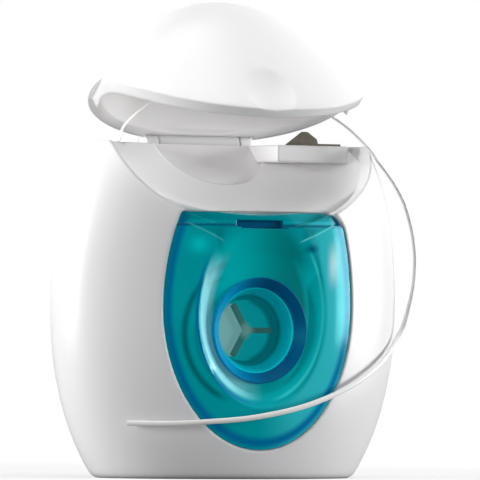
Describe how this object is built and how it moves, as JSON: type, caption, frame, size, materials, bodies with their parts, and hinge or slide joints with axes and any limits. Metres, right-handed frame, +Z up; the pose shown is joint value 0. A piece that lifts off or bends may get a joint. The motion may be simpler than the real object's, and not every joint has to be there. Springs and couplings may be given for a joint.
{
  "type": "dental floss dispenser",
  "caption": "Flip-top dental floss dispenser with a domed lid, a moulded front window, a cutter and a spool of floss inside",
  "frame": {"origin": "middle of the flat base, on the surface that the dispenser stands on", "axes": "+X to the right seen from the front, the front with the window faces -Y, +Z up"},
  "size_m": [0.0486, 0.0235, 0.0586],
  "materials": {
    "barrel": "satin moulded white",
    "lid": "satin moulded white",
    "insert": "clear glossy teal",
    "spool": "moulded pale green",
    "floss": "waxed flat tape",
    "steel": "thin stamped strip"
  },
  "bodies": {
    "case": {"body_shell": "barrel", "rear_cover": "barrel", "window": "insert", "cutter": "steel", "floss_feed": "floss", "floss_strand": "floss", "floss_tail": "floss"},
    "spool": {"spool": "spool", "floss_core": "floss", "floss_winding": "floss"},
    "lid": {"lid": "lid"}
  },
  "joints": [
    {"name": "lid_hinge", "type": "hinge", "parent": "case", "child": "lid", "pos_m": [0, 0.0079, 0.0413], "axis": [-1, 0, 0], "range_deg": [-40, 55], "deforming": ["floss_strand"]},
    {"name": "spool_spin", "type": "hinge", "parent": "case", "child": "spool", "pos_m": [0, 0, 0.0182], "axis": [0, 1, 0], "continuous": true}
  ]
}
